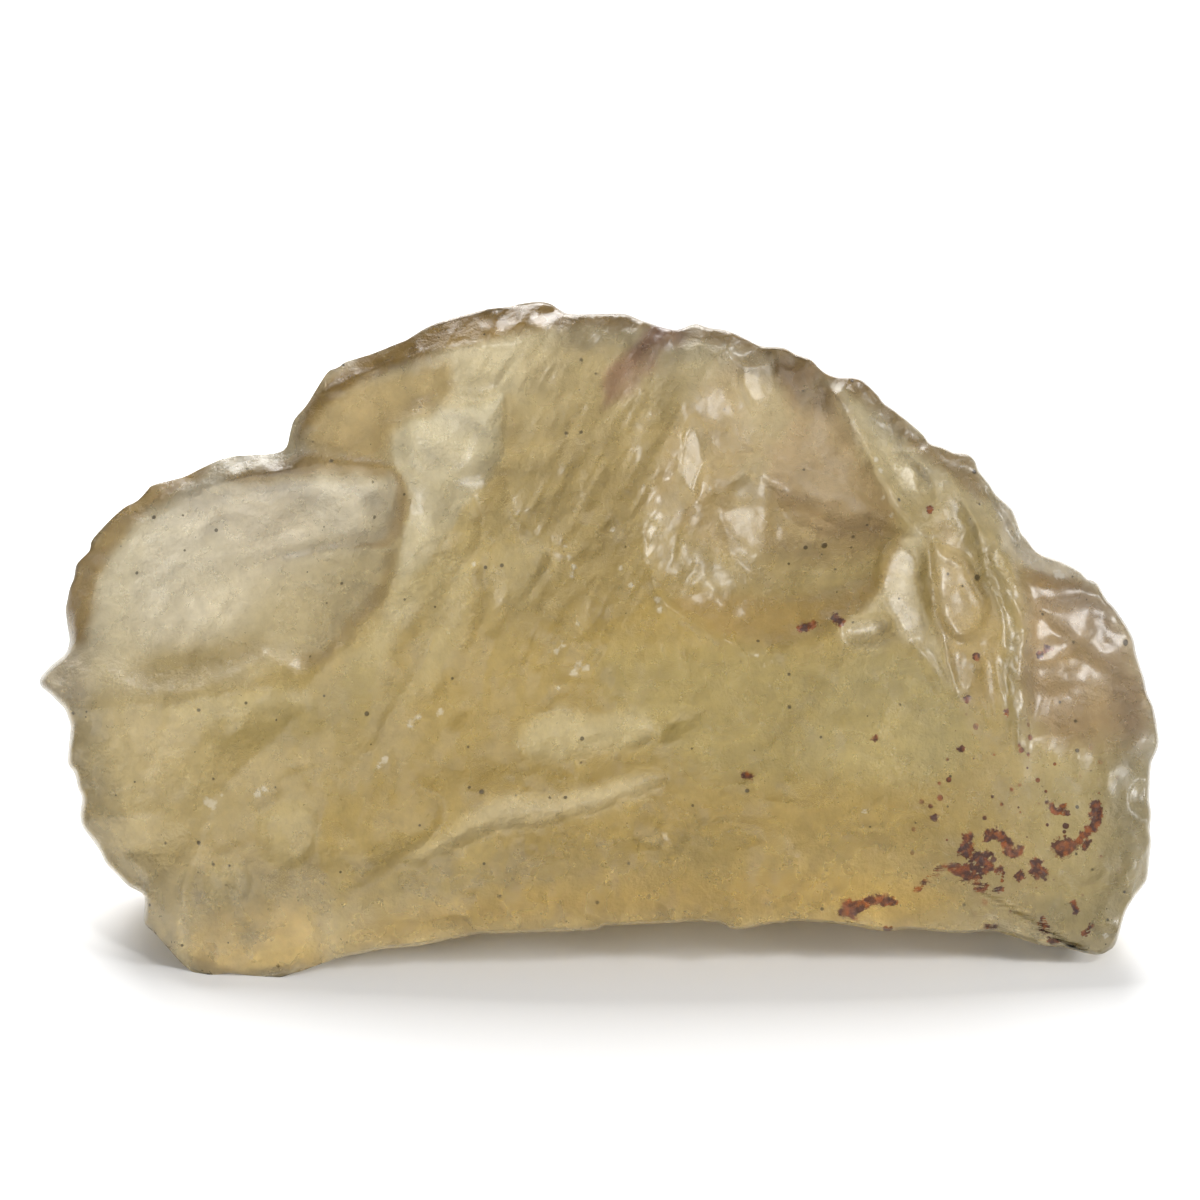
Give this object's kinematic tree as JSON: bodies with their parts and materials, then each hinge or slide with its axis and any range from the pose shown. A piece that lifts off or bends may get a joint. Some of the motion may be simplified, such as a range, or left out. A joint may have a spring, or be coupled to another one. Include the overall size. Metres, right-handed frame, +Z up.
{
  "type": "libyan desert glass",
  "caption": "Flaked, sand-worn piece of translucent yellow natural glass with a thin wing, scooped scars and ribs, standing on its thick lower edge.",
  "frame": {"origin": "middle of the stone's footprint, on the surface it stands on", "axes": "+X runs along the long lower edge, from the thin wing to the thick end; -Y is the side of the broad flaked face, which leans back; +Z is up"},
  "size_m": [0.0564, 0.0194, 0.0283],
  "materials": {
    "glass": "translucent, sand-worn satin"
  },
  "bodies": {
    "root": {"desert_glass": "glass"}
  },
  "joints": []
}
